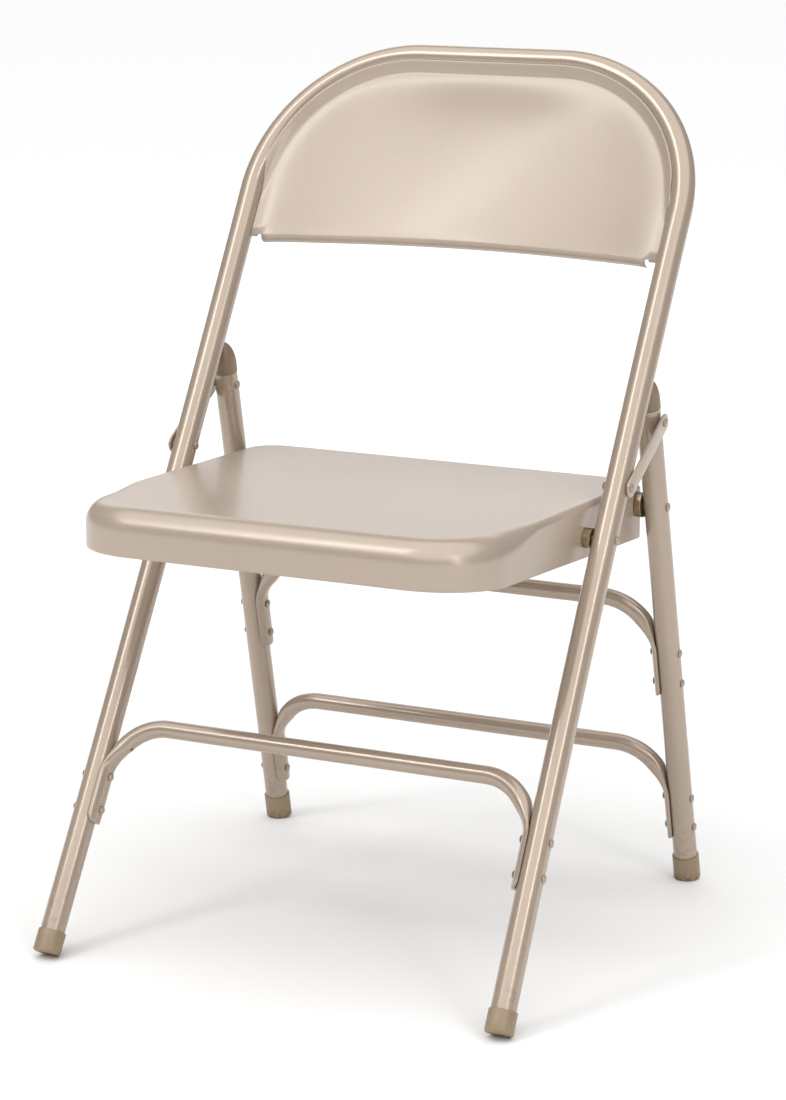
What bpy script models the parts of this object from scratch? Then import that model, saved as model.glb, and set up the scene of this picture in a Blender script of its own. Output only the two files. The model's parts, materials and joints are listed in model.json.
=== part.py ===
"""A steel folding chair: one bent front tube that carries the backrest, a stamped
seat pan, two straight rear legs, three cross braces and two folding links.

Metres, +Z up. The chair faces -Y and is symmetric about X = 0.
Two slanted planes hold most of it: the front frame's and the rear legs'. A place on
either is given as (across, along, behind): across the chair, up the tube from the
floor, and behind the tube's axis.
"""
import math

import bmesh
import bpy
from mathutils import Matrix, Vector

# ---- tubes -----------------------------------------------------------------
TUBE_RADIUS = 0.0111            # 7/8 inch legs and frame
TUBE_WALL = 0.0012
BRACE_RADIUS = 0.00795          # 5/8 inch braces
BRACE_WALL = 0.0012

# ---- front frame -----------------------------------------------------------
FRAME_LEAN = math.radians(32.1)     # backward lean of the front tubes from upright
FRAME_HEIGHT = 0.7760               # floor to the top of the arch
ARCH_RADIUS = 0.146                 # bend at each top corner, at the tube's axis
WAIST_HALF = 0.216                  # half the spacing of the front tubes at the waist
WAIST_ALONG = 0.520                 # where the waist is, along the tube
FLARE = 0.0044                      # outward flare at FLARE_SPAN from the waist
FLARE_SPAN = 0.520

# ---- rear legs -------------------------------------------------------------
REAR_LEAN = math.radians(12.9)      # forward lean of the rear legs from upright
REAR_TOP_HALF = 0.2145              # half the spacing at the link pivots
REAR_FOOT_HALF = 0.220              # half the spacing at the floor

# ---- folding linkage -------------------------------------------------------
SEAT_PIVOT_HEIGHT = 0.377           # seat pivot on the front tubes
PIVOT_SPACING = 0.1240              # seat pivot to rear pivot
PIVOT_RISE = math.radians(2.0)      # rise of the rear pivot seen from the seat pivot
LINK_PIVOT_UP_LEG = PIVOT_SPACING - 0.0405  # rear pivot to link pivot, below the leg's cap
FOLDED_OFFSET = 0.0250              # folded rear leg behind the front tube, axis to axis
LINK_WIDTH = 0.016
LINK_THICKNESS = 0.0020
LINK_CLEARANCE = 0.0008             # link's inner face off the tubes

# ---- seat pan --------------------------------------------------------------
SEAT_HALF_WIDTH = 0.1975
SEAT_FRONT_REACH = 0.232            # seat pivot to the front skirt
SEAT_REAR_REACH = 0.140             # seat pivot to the rear skirt
SEAT_TOP_OVER_PIVOT = 0.0305        # seat top above the pivot, straight over it
SEAT_SLOPE = 0.044                  # rise towards the front, per length
SKIRT_DEPTH = 0.0495                # at the seat pivot
SKIRT_TAPER = 0.033                 # how much shallower towards the front, per length
SEAT_FRONT_CORNER = 0.066
SEAT_REAR_CORNER = 0.012
SEAT_FRONT_ROLL = 0.021             # rounding of the front upper edge
SEAT_SIDE_ROLL = 0.0075             # rounding of the side and rear upper edges
SEAT_ROLL_BLEND = 0.070             # length over which one rounding becomes the other
SEAT_SHEET = 0.0012

# ---- backrest --------------------------------------------------------------
PANEL_LOWER_ALONG = 0.7070          # lower edge beside the tubes
PANEL_ARCHING = 0.0149              # extra height of the lower edge at mid width
PANEL_BOW = 0.0200                  # backward bow at mid width, at the lower edge
PANEL_HEM = 0.0080                  # lower edge turned back
PANEL_RIM = 0.0080                  # edge band beside the tube, where the hem stops
PANEL_RIM_TURN = math.radians(50)   # how far round the arch's front the edge is carried
PANEL_RIM_BULGE = 0.0022            # how far the band stands off the arch half way
PANEL_RIM_START = 0.0100            # the edge begins to turn this far below the arch
PANEL_RIM_BLEND = 0.0500            # and takes this length to do it
PANEL_SHEET = 0.0012

# ---- braces ----------------------------------------------------------------
FRONT_BRACE_ALONG = 0.2230          # bar of the front brace, up the front tubes
REAR_UPPER_BRACE_ALONG = 0.2932     # bars of the rear braces, up the rear legs
REAR_LOWER_BRACE_ALONG = 0.1395
BRACE_BEND = 0.048                  # bend radius at the tube's axis
BRACE_FLAT = 0.0040                 # thickness of the ends, pressed to hug the legs
BRACE_FLAT_WIDTH = 0.0240           # round the leg
BRACE_FLAT_SQUARENESS = 0.35        # 1 leaves an oval, less gives a strip of even thickness
BRACE_RIVETS_DOWN = (BRACE_BEND + 0.0030, BRACE_BEND + 0.0340)  # rivets below the bar
BRACE_END_DOWN = BRACE_BEND + 0.0470
BRACE_TIP = 0.0080                  # length over which the end's corners are rounded
BRACE_DRAIN_RADIUS = 0.0020
BRACE_DRAIN_TURN = math.radians(52)     # where the drain hole is, round the bend

# ---- feet and caps ---------------------------------------------------------
FOOT_RADIUS = TUBE_RADIUS + 0.0015
FOOT_HEIGHT = 0.0260                # up the leg
FOOT_EDGE = 0.0020                  # rounding of the bottom edge
FOOT_SOLE = 0.0030                  # thickness under the tube's end
FOOT_TRIM = 0.0012                  # cut level off the lowest point of the rounded edge
CAP_RADIUS = TUBE_RADIUS + 0.0004
CAP_COLLAR = 0.0080
CAP_NOSE = 0.0220
CAP_STEM = 0.0045

# ---- rivets and spacers ----------------------------------------------------
PIVOT_RIVET_RADIUS = 0.0030
PIVOT_HEAD_RADIUS = 0.0040
BRACE_RIVET_RADIUS = 0.0024
BRACE_HEAD_RADIUS = 0.0038
HEAD_HEIGHT = 0.0018
SPACER_RADIUS = 0.0090
REAR_SPACER_RADIUS = 0.0115

# ---- clearances ------------------------------------------------------------
TOUCH_GAP = 0.0003                  # between surfaces that touch on the real chair
HOLE_GAP = 0.0003                   # hole radius over rivet radius
SLIP_GAP = 0.0002                   # foot over tube, stem in tube

# ---- facets ----------------------------------------------------------------
FRAME_SIDES = 16
LEG_SIDES = 16
BRACE_SIDES = 16
RIVET_SIDES = 10
HOLE_SIDES = 12
DISC_SIDES = 20

ALONG_FRONT = Vector((0, math.sin(FRAME_LEAN), math.cos(FRAME_LEAN)))
BEHIND_FRONT = Vector((0, math.cos(FRAME_LEAN), -math.sin(FRAME_LEAN)))
ALONG_REAR = Vector((0, -math.sin(REAR_LEAN), math.cos(REAR_LEAN)))
BEHIND_REAR = Vector((0, math.cos(REAR_LEAN), math.sin(REAR_LEAN)))
ACROSS = Vector((1, 0, 0))


# ---- places ----------------------------------------------------------------
def on_front(across, along, behind=0.0):
    """A place on the front frame; along 0 is where the tube's axis meets the floor."""
    return ACROSS * across + ALONG_FRONT * along + BEHIND_FRONT * behind


SEAT_PIVOT = on_front(0, SEAT_PIVOT_HEIGHT / math.cos(FRAME_LEAN))
REAR_PIVOT = SEAT_PIVOT + PIVOT_SPACING * Vector((0, math.cos(PIVOT_RISE), math.sin(PIVOT_RISE)))
REAR_PIVOT_ALONG = REAR_PIVOT.z / math.cos(REAR_LEAN)
REAR_FLOOR = REAR_PIVOT - ALONG_REAR * REAR_PIVOT_ALONG
LINK_REAR_ALONG = REAR_PIVOT_ALONG + LINK_PIVOT_UP_LEG


def on_rear(across, along, behind=0.0):
    """A place on the rear legs; along 0 is where a leg's axis meets the floor."""
    return REAR_FLOOR + ACROSS * across + ALONG_REAR * along + BEHIND_REAR * behind


def front_half(along):
    """Half the spacing of the front tubes' axes: narrowest at the waist."""
    return WAIST_HALF + FLARE * ((along - WAIST_ALONG) / FLARE_SPAN) ** 2


def rear_half(along):
    """Half the spacing of the rear legs' axes: they splay evenly to the floor."""
    splay = (REAR_FOOT_HALF - REAR_TOP_HALF) / LINK_REAR_ALONG
    return REAR_FOOT_HALF - splay * along


def link_pivot_along():
    """The link's pivot on the front tube, up the tube from the floor.

    Folded, the rear leg must lie parallel to the front tube at FOLDED_OFFSET. That
    puts the link's rear pivot in a known place then, as it is in a known place when
    the chair is open, and the front pivot is as far from the one as from the other.
    """
    link_rear = on_rear(0, LINK_REAR_ALONG) - SEAT_PIVOT
    open_along = link_rear.dot(ALONG_FRONT)
    open_behind = link_rear.dot(BEHIND_FRONT)
    seat_along = math.sqrt(PIVOT_SPACING ** 2 - FOLDED_OFFSET ** 2)
    folded_along = LINK_PIVOT_UP_LEG - seat_along
    squares = open_along ** 2 + open_behind ** 2 - folded_along ** 2 - FOLDED_OFFSET ** 2
    return SEAT_PIVOT.length + squares / (2 * (open_along - folded_along))


LINK_FRONT_ALONG = link_pivot_along()
LINK_PIVOT = on_front(0, LINK_FRONT_ALONG)
LINK_REAR_PIVOT = on_rear(0, LINK_REAR_ALONG)
LINK_INNER_FACE = (max(front_half(LINK_FRONT_ALONG), rear_half(LINK_REAR_ALONG))
                   + TUBE_RADIUS + LINK_CLEARANCE)


# ---- scene helpers ---------------------------------------------------------
def clear_scene():
    for thing in list(bpy.data.objects):
        bpy.data.objects.remove(thing, do_unlink=True)


def make_material(name, colour, roughness, metallic=0.0):
    material = bpy.data.materials.new(name)
    material.use_nodes = True
    shader = material.node_tree.nodes["Principled BSDF"]
    shader.inputs["Base Color"].default_value = (*colour, 1.0)
    shader.inputs["Roughness"].default_value = roughness
    shader.inputs["Metallic"].default_value = metallic
    return material


def make_empty(name, place, parent=None):
    empty = bpy.data.objects.new(name, None)
    empty.location = place - (parent.location if parent else Vector((0, 0, 0)))
    empty.parent = parent
    bpy.context.scene.collection.objects.link(empty)
    return empty


def make_object(name, bm, parent, pivot, material=None):
    """Turn a bmesh drawn in chair coordinates into an object hung from its pivot."""
    bmesh.ops.recalc_face_normals(bm, faces=bm.faces)
    bmesh.ops.translate(bm, vec=-pivot, verts=bm.verts)
    mesh = bpy.data.meshes.new(name)
    bm.to_mesh(mesh)
    bm.free()
    mesh.shade_smooth()
    mesh.set_sharp_from_angle(angle=math.radians(35))
    thing = bpy.data.objects.new(name, mesh)
    thing.parent = parent
    if material:
        mesh.materials.append(material)
    bpy.context.scene.collection.objects.link(thing)
    return thing


def cut(thing, bm, pivot, label):
    """Take the solid in bm away from an object."""
    cutter = make_object(f"{thing.name}.{label}", bm, thing.parent, pivot)
    cutter.display_type = 'WIRE'
    cutter.hide_render = True
    boolean = thing.modifiers.new(label, 'BOOLEAN')
    boolean.operation = 'DIFFERENCE'
    boolean.object = cutter
    boolean.solver = 'EXACT'


# ---- shape helpers ---------------------------------------------------------
def section(centre, thickness_axis, width_axis, half_thickness, half_width):
    """The matrix that carries a unit circle to an ellipse in space."""
    tangent = thickness_axis.cross(width_axis).normalized()
    columns = Matrix((thickness_axis.normalized() * half_thickness,
                      width_axis.normalized() * half_width,
                      tangent)).transposed()
    return Matrix.Translation(centre) @ columns.to_4x4()


def sweep(sections, sides):
    """Carry a circle from section to section, and close both ends."""
    bm = bmesh.new()
    bmesh.ops.create_circle(bm, cap_ends=True, radius=1.0, segments=sides, matrix=sections[0])
    ring = list(bm.edges)
    for before, after in zip(sections, sections[1:]):
        grown = bmesh.ops.extrude_edge_only(bm, edges=ring)["geom"]
        verts = [item for item in grown if isinstance(item, bmesh.types.BMVert)]
        bmesh.ops.transform(bm, matrix=after @ before.inverted(), verts=verts)
        fresh = set(verts)
        ring = [item for item in grown
                if isinstance(item, bmesh.types.BMEdge) and fresh.issuperset(item.verts)]
    bmesh.ops.contextual_create(bm, geom=ring)
    return bm


def tube_sections(points, radius, up=ACROSS):
    """Round sections along a list of points in one plane, square to the path."""
    sections = []
    for index, point in enumerate(points):
        before = points[max(index - 1, 0)]
        after = points[min(index + 1, len(points) - 1)]
        tangent = (after - before).normalized()
        side = up.cross(tangent).normalized()
        sections.append(section(point, side, tangent.cross(side), radius, radius))
    return sections


def turned(profile, sides, start, direction):
    """Spin a profile of (radius, height) points about a line in space."""
    bm = bmesh.new()
    verts = [bm.verts.new((radius, 0, height)) for radius, height in profile]
    edges = [bm.edges.new(pair) for pair in zip(verts, verts[1:])]
    bmesh.ops.spin(bm, geom=verts + edges, axis=(0, 0, 1), cent=(0, 0, 0),
                   angle=math.tau, steps=sides, use_merge=True)
    bmesh.ops.remove_doubles(bm, verts=bm.verts, dist=1e-6)
    turn = direction.to_track_quat('Z', 'Y').to_matrix().to_4x4()
    bmesh.ops.transform(bm, matrix=Matrix.Translation(start) @ turn, verts=bm.verts)
    return bm


def add_bar_across(bm, place, x_from, x_to, radius, sides=HOLE_SIDES):
    """Add a round bar along X, from x_from to x_to, at place's height and depth."""
    middle = Vector(((x_from + x_to) / 2, place.y, place.z))
    turn = Matrix.Rotation(math.radians(90), 4, 'Y')
    bmesh.ops.create_cone(bm, cap_ends=True, segments=sides, radius1=radius, radius2=radius,
                          depth=abs(x_to - x_from), matrix=Matrix.Translation(middle) @ turn)


def dome(radius, height, base, steps=2):
    """Profile of a low domed head, from its rim at height base up to its tip."""
    points = []
    for step in range(steps + 1):
        angle = math.radians(90) * step / steps
        points.append((radius * math.cos(angle), base + height * math.sin(angle)))
    return points


def rivet(inner_x, outer_x, place, side, radius, head_radius):
    """A rivet across the chair with a domed head on both faces that it holds."""
    length = outer_x - inner_x
    tip = [(r, -h) for r, h in dome(head_radius, HEAD_HEIGHT, 0.0)][::-1]
    profile = tip + [(radius, 0.0), (radius, length)] + dome(head_radius, HEAD_HEIGHT, length)
    start = Vector((side * inner_x, place.y, place.z))
    return turned(profile, RIVET_SIDES, start, ACROSS * side)


def ring_spacer(inner_x, outer_x, place, side, radius, bore):
    """A flat spacer disc with a hole."""
    length = outer_x - inner_x
    profile = [(bore, 0), (radius, 0), (radius, length), (bore, length), (bore, 0)]
    start = Vector((side * inner_x, place.y, place.z))
    return turned(profile, DISC_SIDES, start, ACROSS * side)


# ---- front frame -----------------------------------------------------------
def foot_bottom(lean):
    """Where a leaning foot's square end crosses the leg's axis, up the leg.

    The foot stands on the rounded edge of that end, which is cut level by FOOT_TRIM.
    """
    heel = (FOOT_RADIUS - FOOT_EDGE) * math.sin(lean) + FOOT_EDGE * (1 - math.cos(lean))
    return (heel - FOOT_TRIM) / math.cos(lean)


FRONT_TUBE_END = foot_bottom(FRAME_LEAN) + FOOT_SOLE
REAR_TUBE_END = foot_bottom(REAR_LEAN) + FOOT_SOLE
FRAME_TOP_ALONG = (FRAME_HEIGHT - TUBE_RADIUS) / math.cos(FRAME_LEAN)
ARCH_ALONG = FRAME_TOP_ALONG - ARCH_RADIUS
ARCH_TILT = math.atan(2 * FLARE * (ARCH_ALONG - WAIST_ALONG) / FLARE_SPAN ** 2)
ARCH_CENTRE = front_half(ARCH_ALONG) - ARCH_RADIUS * math.cos(ARCH_TILT)


def frame_path(lower_end, leg_steps=6, arch_steps=12):
    """The front tube's axis: up the right leg, over the arch and down the left leg."""
    right = []
    arch_start = ARCH_ALONG - ARCH_RADIUS * math.sin(ARCH_TILT)
    for step in range(leg_steps):
        along = lower_end + (arch_start - lower_end) * step / leg_steps
        right.append((front_half(along), along))
    for step in range(arch_steps + 1):
        angle = -ARCH_TILT + (math.radians(90) + ARCH_TILT) * step / arch_steps
        right.append((ARCH_CENTRE + ARCH_RADIUS * math.cos(angle),
                      ARCH_ALONG + ARCH_RADIUS * math.sin(angle)))
    left = [(-across, along) for across, along in reversed(right)]
    return [on_front(across, along) for across, along in right + left]


def make_front_frame(parent, paint):
    path = frame_path(FRONT_TUBE_END)
    bm = sweep(tube_sections(path, TUBE_RADIUS, BEHIND_FRONT), FRAME_SIDES)
    frame = make_object("front_frame", bm, parent, Vector(), paint)
    bore = frame_path(FRONT_TUBE_END - 2 * TUBE_WALL)
    cut(frame, sweep(tube_sections(bore, TUBE_RADIUS - TUBE_WALL, BEHIND_FRONT), FRAME_SIDES),
        Vector(), "bore")
    holes = bmesh.new()
    for side in (-1, 1):
        for along, radius in ([(SEAT_PIVOT.length, PIVOT_RIVET_RADIUS),
                               (LINK_FRONT_ALONG, PIVOT_RIVET_RADIUS)]
                              + [(FRONT_BRACE_ALONG - down, BRACE_RIVET_RADIUS)
                                 for down in BRACE_RIVETS_DOWN]):
            centre = side * front_half(along)
            add_bar_across(holes, on_front(0, along), centre - 2 * TUBE_RADIUS,
                           centre + 2 * TUBE_RADIUS, radius + HOLE_GAP)
    cut(frame, holes, Vector(), "rivet_holes")


# ---- backrest --------------------------------------------------------------
def panel_half(along, inside):
    """Half the width of the arch's opening, kept this far inside the tube's axis."""
    if along <= ARCH_ALONG:
        return front_half(along) - inside
    rise = min(along - ARCH_ALONG, ARCH_RADIUS - inside)
    return ARCH_CENTRE + math.sqrt((ARCH_RADIUS - inside) ** 2 - rise ** 2)


def beside_tube(across, along):
    """The nearest place on the frame's axis and the way back from it, in its plane."""
    side = math.copysign(1.0, across)
    if along <= ARCH_ALONG:
        return (side * front_half(along), along), (-side, 0.0)
    if abs(across) <= ARCH_CENTRE:
        return (across, FRAME_TOP_ALONG), (0.0, -1.0)
    out = Vector((across - side * ARCH_CENTRE, along - ARCH_ALONG)).normalized()
    axis = (side * ARCH_CENTRE + out.x * ARCH_RADIUS, ARCH_ALONG + out.y * ARCH_RADIUS)
    return axis, (-out.x, -out.y)


def rim_place(across, along, share):
    """A place on the panel's edge band: share 0 is its inner line, 1 is its free edge.

    In the arch the band is carried forward and laid on the front of the tube.
    """
    axis, back = beside_tube(across, along)
    risen = min(max((axis[1] - ARCH_ALONG + PANEL_RIM_START) / PANEL_RIM_BLEND, 0.0), 1.0)
    risen = risen * risen * (3 - 2 * risen)
    turn = PANEL_RIM_TURN * risen
    near = TUBE_RADIUS + TOUCH_GAP
    start = Vector((near + PANEL_RIM, 0.0))
    middle = Vector((near + PANEL_RIM_BULGE * risen, PANEL_RIM_BULGE * risen))
    end = Vector((near * math.cos(turn), near * math.sin(turn)))
    inward, forward = start.lerp(middle, share).lerp(middle.lerp(end, share), share)
    return on_front(axis[0] + back[0] * inward, axis[1] + back[1] * inward, -forward)


def make_backrest(parent, paint, columns=18, rows=10, rim_steps=4):
    """A sheet bowed backwards, most at its lower edge, with that edge turned back."""
    inside = TUBE_RADIUS + TOUCH_GAP + PANEL_RIM
    top = FRAME_TOP_ALONG - inside
    bm = bmesh.new()
    turn = PANEL_HEM / 2
    first = PANEL_LOWER_ALONG + turn
    lines = [(PANEL_LOWER_ALONG, PANEL_HEM, 0.0), (PANEL_LOWER_ALONG, turn, 0.0),
             (PANEL_LOWER_ALONG + turn * 0.3, turn * 0.3, 0.0)]
    for row in range(rows + 1):
        share = math.sin(math.radians(90) * row / rows)
        lines.append((first + (top - first) * share, 0.0, share))
    grid = []
    plan = []
    for along, behind, share in lines:
        half = panel_half(max(along, first), inside)
        verts = []
        flat = []
        for column in range(columns + 1):
            spread = -1 + 2 * column / columns
            swell = (1 - spread ** 2) * (1 - share ** 2)
            verts.append(bm.verts.new(on_front(half * spread, along + PANEL_ARCHING * swell,
                                               behind + PANEL_BOW * swell)))
            flat.append((half * spread, along))
        grid.append(verts)
        plan.append(flat)
    for lower, upper in zip(grid, grid[1:]):
        for column in range(columns):
            bm.faces.new((lower[column], lower[column + 1], upper[column + 1], upper[column]))
    hem_lines = len(lines) - rows - 1
    path = [(line, 0) for line in range(hem_lines, len(lines))]
    path += [(len(lines) - 1, column) for column in range(1, columns)]
    path += [(line, columns) for line in range(len(lines) - 1, hem_lines - 1, -1)]
    before = [grid[line][column] for line, column in path]
    for step in range(1, rim_steps + 1):
        band = [bm.verts.new(rim_place(*plan[line][column], step / rim_steps))
                for line, column in path]
        for index in range(len(path) - 1):
            bm.faces.new((before[index], before[index + 1], band[index + 1], band[index]))
        before = band
    panel = make_object("backrest_panel", bm, parent, Vector(), paint)
    shell = panel.modifiers.new("sheet", 'SOLIDIFY')
    shell.thickness = PANEL_SHEET
    shell.offset = -1
    shell.use_even_offset = True


# ---- seat ------------------------------------------------------------------
def seat_outline(corner_steps=7, side_steps=6):
    """Points round the seat's skirt, each with its outward direction."""
    front = SEAT_PIVOT.y - SEAT_FRONT_REACH
    rear = SEAT_PIVOT.y + SEAT_REAR_REACH
    corners = ((1, rear, SEAT_REAR_CORNER, -1, 0), (-1, rear, SEAT_REAR_CORNER, -1, 90),
               (-1, front, SEAT_FRONT_CORNER, 1, 180), (1, front, SEAT_FRONT_CORNER, 1, 270))
    points = []
    for side, edge, radius, inward, first in corners:
        for step in range(corner_steps + 1):
            angle = math.radians(first + 90 * step / corner_steps)
            outward = Vector((math.cos(angle), math.sin(angle), 0))
            centre = Vector((side * (SEAT_HALF_WIDTH - radius), edge + inward * radius, 0))
            points.append((centre + outward * radius, outward))
        if first in (90, 270):
            low = edge + inward * radius if first == 270 else front + SEAT_FRONT_CORNER
            high = rear - SEAT_REAR_CORNER
            for step in range(1, side_steps):
                share = step / side_steps if first == 270 else 1 - step / side_steps
                place = Vector((side * SEAT_HALF_WIDTH, low + (high - low) * share, 0))
                points.append((place, Vector((side, 0, 0))))
    return points


def seat_roll(y):
    """Radius of the rounded upper edge at a depth y: large at the front."""
    start = SEAT_PIVOT.y - SEAT_FRONT_REACH + SEAT_FRONT_CORNER
    share = min(max((y - start) / SEAT_ROLL_BLEND, 0.0), 1.0)
    smooth = share * share * (3 - 2 * share)
    return SEAT_FRONT_ROLL + (SEAT_SIDE_ROLL - SEAT_FRONT_ROLL) * smooth


def seat_top(y):
    return SEAT_PIVOT.z + SEAT_TOP_OVER_PIVOT - SEAT_SLOPE * (y - SEAT_PIVOT.y)


def skirt_depth(y):
    return SKIRT_DEPTH + SKIRT_TAPER * (y - SEAT_PIVOT.y)


def make_seat(parent, paint, roll_steps=4):
    outline = seat_outline()
    bm = bmesh.new()
    rings = [[bm.verts.new((p.x, p.y, seat_top(p.y) - skirt_depth(p.y))) for p, _ in outline]]
    for step in range(roll_steps + 1):
        angle = math.radians(90) * step / roll_steps
        ring = []
        for place, outward in outline:
            roll = seat_roll(place.y)
            moved = place - outward * roll * (1 - math.cos(angle))
            height = seat_top(moved.y) - roll * (1 - math.sin(angle))
            ring.append(bm.verts.new((moved.x, moved.y, height)))
        rings.append(ring)
    for lower, upper in zip(rings, rings[1:]):
        for index, vert in enumerate(lower):
            after = (index + 1) % len(lower)
            bm.faces.new((vert, lower[after], upper[after], upper[index]))
    bm.faces.new(rings[-1])
    seat = make_object("seat_pan", bm, parent, SEAT_PIVOT, paint)
    shell = seat.modifiers.new("sheet", 'SOLIDIFY')
    shell.thickness = SEAT_SHEET
    shell.offset = -1
    shell.use_even_offset = True
    holes = bmesh.new()
    for side in (-1, 1):
        for pivot in (SEAT_PIVOT, REAR_PIVOT):
            add_bar_across(holes, pivot, side * (SEAT_HALF_WIDTH - 0.01),
                           side * (SEAT_HALF_WIDTH + 0.01), PIVOT_RIVET_RADIUS + HOLE_GAP)
    cut(seat, holes, SEAT_PIVOT, "rivet_holes")


# ---- rear legs -------------------------------------------------------------
def cap_base_along():
    """Where a rear leg ends, so that its cap's nose rests on the back of the front tube."""
    between = FRAME_LEAN + REAR_LEAN
    reach = math.hypot(CAP_NOSE * math.sin(between), CAP_RADIUS * math.cos(between))
    behind = TUBE_RADIUS + TOUCH_GAP + reach
    start = (REAR_PIVOT - SEAT_PIVOT).dot(BEHIND_FRONT)
    return REAR_PIVOT_ALONG + (start - behind) / math.sin(between) - CAP_COLLAR


REAR_TUBE_TOP = cap_base_along()


def rear_place(side, along):
    return on_rear(side * rear_half(along), along)


def make_rear_leg(side, name, parent, paint):
    ends = [rear_place(side, REAR_TUBE_END), rear_place(side, REAR_TUBE_TOP)]
    bm = sweep(tube_sections(ends, TUBE_RADIUS), LEG_SIDES)
    leg = make_object(name, bm, parent, REAR_PIVOT, paint)
    beyond = (ends[1] - ends[0]).normalized() * 2 * TUBE_WALL
    bore = tube_sections([ends[0] - beyond, ends[1] + beyond], TUBE_RADIUS - TUBE_WALL)
    cut(leg, sweep(bore, LEG_SIDES), REAR_PIVOT, "bore")
    holes = bmesh.new()
    rivets = [(REAR_PIVOT_ALONG, PIVOT_RIVET_RADIUS), (LINK_REAR_ALONG, PIVOT_RIVET_RADIUS)]
    for bar in (REAR_UPPER_BRACE_ALONG, REAR_LOWER_BRACE_ALONG):
        rivets += [(bar - down, BRACE_RIVET_RADIUS) for down in BRACE_RIVETS_DOWN]
    for along, radius in rivets:
        centre = side * rear_half(along)
        add_bar_across(holes, on_rear(0, along), centre - 2 * TUBE_RADIUS,
                       centre + 2 * TUBE_RADIUS, radius + HOLE_GAP)
    cut(leg, holes, REAR_PIVOT, "rivet_holes")


def make_rear_cap(side, name, parent, plastic):
    """A bullet-shaped plug: a stem in the tube, a collar on its end and a long nose."""
    stem = TUBE_RADIUS - TUBE_WALL - SLIP_GAP
    base = TOUCH_GAP
    profile = [(0, -CAP_STEM), (stem, -CAP_STEM), (stem, base), (CAP_RADIUS, base),
               (CAP_RADIUS, CAP_COLLAR)]
    profile += dome(CAP_RADIUS, CAP_NOSE, CAP_COLLAR, steps=6)[1:]
    low = rear_place(side, REAR_TUBE_TOP)
    direction = (low - rear_place(side, REAR_TUBE_END)).normalized()
    make_object(name, turned(profile, LEG_SIDES, low, direction), parent, REAR_PIVOT, plastic)


# ---- braces ----------------------------------------------------------------
def brace_rings(place, half, bar_along, inset, bend_steps=8):
    """Rings of an inverted-U tube whose ends are pressed to hug the legs.

    place maps (across, along, behind) to space and half gives the legs' half spacing.
    inset makes a smaller copy for the hollow inside, which ends where the tube is
    pressed.
    """
    hug = TUBE_RADIUS + TOUCH_GAP + BRACE_FLAT / 2

    def end_across(along):
        return half(along) - hug

    bend_along = bar_along - BRACE_BEND
    centre = end_across(bend_along) - BRACE_BEND
    right = []
    for step in range(bend_steps + 1):
        angle = math.radians(90) * step / bend_steps
        across = centre + BRACE_BEND * math.sin(angle)
        along = bend_along + BRACE_BEND * math.cos(angle)
        flat = min(max((math.degrees(angle) - 50) / 40, 0.0), 1.0)
        right.append((across, along, angle, flat * flat * (3 - 2 * flat), 1.0))
    for short, width in ((BRACE_TIP, 1.0), (BRACE_TIP * 0.4, 0.86), (0.0, 0.5)):
        along = bar_along - BRACE_END_DOWN + short
        right.append((end_across(along), along, math.radians(90), 1.0, width))
    if inset:
        right = [point for point in right if point[3] < 0.4]
    rings = []
    for sign, points in ((-1, reversed(right)), (1, right)):
        for across, along, angle, flat, width in points:
            ring = []
            for step in range(BRACE_SIDES):
                turn = math.tau * step / BRACE_SIDES
                thick = math.cos(turn)
                wide = math.sin(turn)
                square = math.copysign(abs(thick) ** BRACE_FLAT_SQUARENESS, thick)
                reach = hug - square * (BRACE_FLAT / 2 - inset)
                round_leg = wide * width * (BRACE_FLAT_WIDTH / 2 - inset) / hug
                pressed = Vector((hug - reach * math.cos(round_leg), reach * math.sin(round_leg)))
                open_tube = Vector((thick, wide)) * (BRACE_RADIUS - inset)
                outward, behind = open_tube.lerp(pressed, flat)
                ring.append(place(sign * (across + outward * math.sin(angle)),
                                  along + outward * math.cos(angle), behind))
            rings.append(ring)
    return rings


def skin(rings):
    """Join rings of points into one closed body."""
    bm = bmesh.new()
    verts = [[bm.verts.new(point) for point in ring] for ring in rings]
    for before, after in zip(verts, verts[1:]):
        for index, vert in enumerate(before):
            follow = (index + 1) % len(before)
            bm.faces.new((vert, before[follow], after[follow], after[index]))
    bm.faces.new(verts[0])
    bm.faces.new(verts[-1])
    return bm


def make_brace(name, place, half, bar_along, parent, pivot, paint):
    brace = make_object(name, skin(brace_rings(place, half, bar_along, 0.0)), parent, pivot,
                        paint)
    cut(brace, skin(brace_rings(place, half, bar_along, BRACE_WALL)), pivot, "bore")
    drain = bmesh.new()
    bend_along = bar_along - BRACE_BEND
    bend_across = half(bend_along) - TUBE_RADIUS - TOUCH_GAP - BRACE_FLAT / 2 - BRACE_BEND
    outward = place(-math.sin(BRACE_DRAIN_TURN), math.cos(BRACE_DRAIN_TURN)) - place(0, 0)
    middle = place(-bend_across, bend_along) + outward * (BRACE_BEND - BRACE_RADIUS)
    turn = outward.to_track_quat('Z', 'Y').to_matrix().to_4x4()
    bmesh.ops.create_cone(drain, cap_ends=True, segments=HOLE_SIDES, radius1=BRACE_DRAIN_RADIUS,
                          radius2=BRACE_DRAIN_RADIUS, depth=BRACE_RADIUS,
                          matrix=Matrix.Translation(middle) @ turn)
    cut(brace, drain, pivot, "drain_hole")
    holes = bmesh.new()
    for side in (-1, 1):
        for down in BRACE_RIVETS_DOWN:
            along = bar_along - down
            face = half(along) - TUBE_RADIUS
            add_bar_across(holes, place(0, along), side * (face - 3 * BRACE_FLAT),
                           side * (face + BRACE_FLAT), BRACE_RIVET_RADIUS + HOLE_GAP)
    cut(brace, holes, pivot, "rivet_holes")


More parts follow.
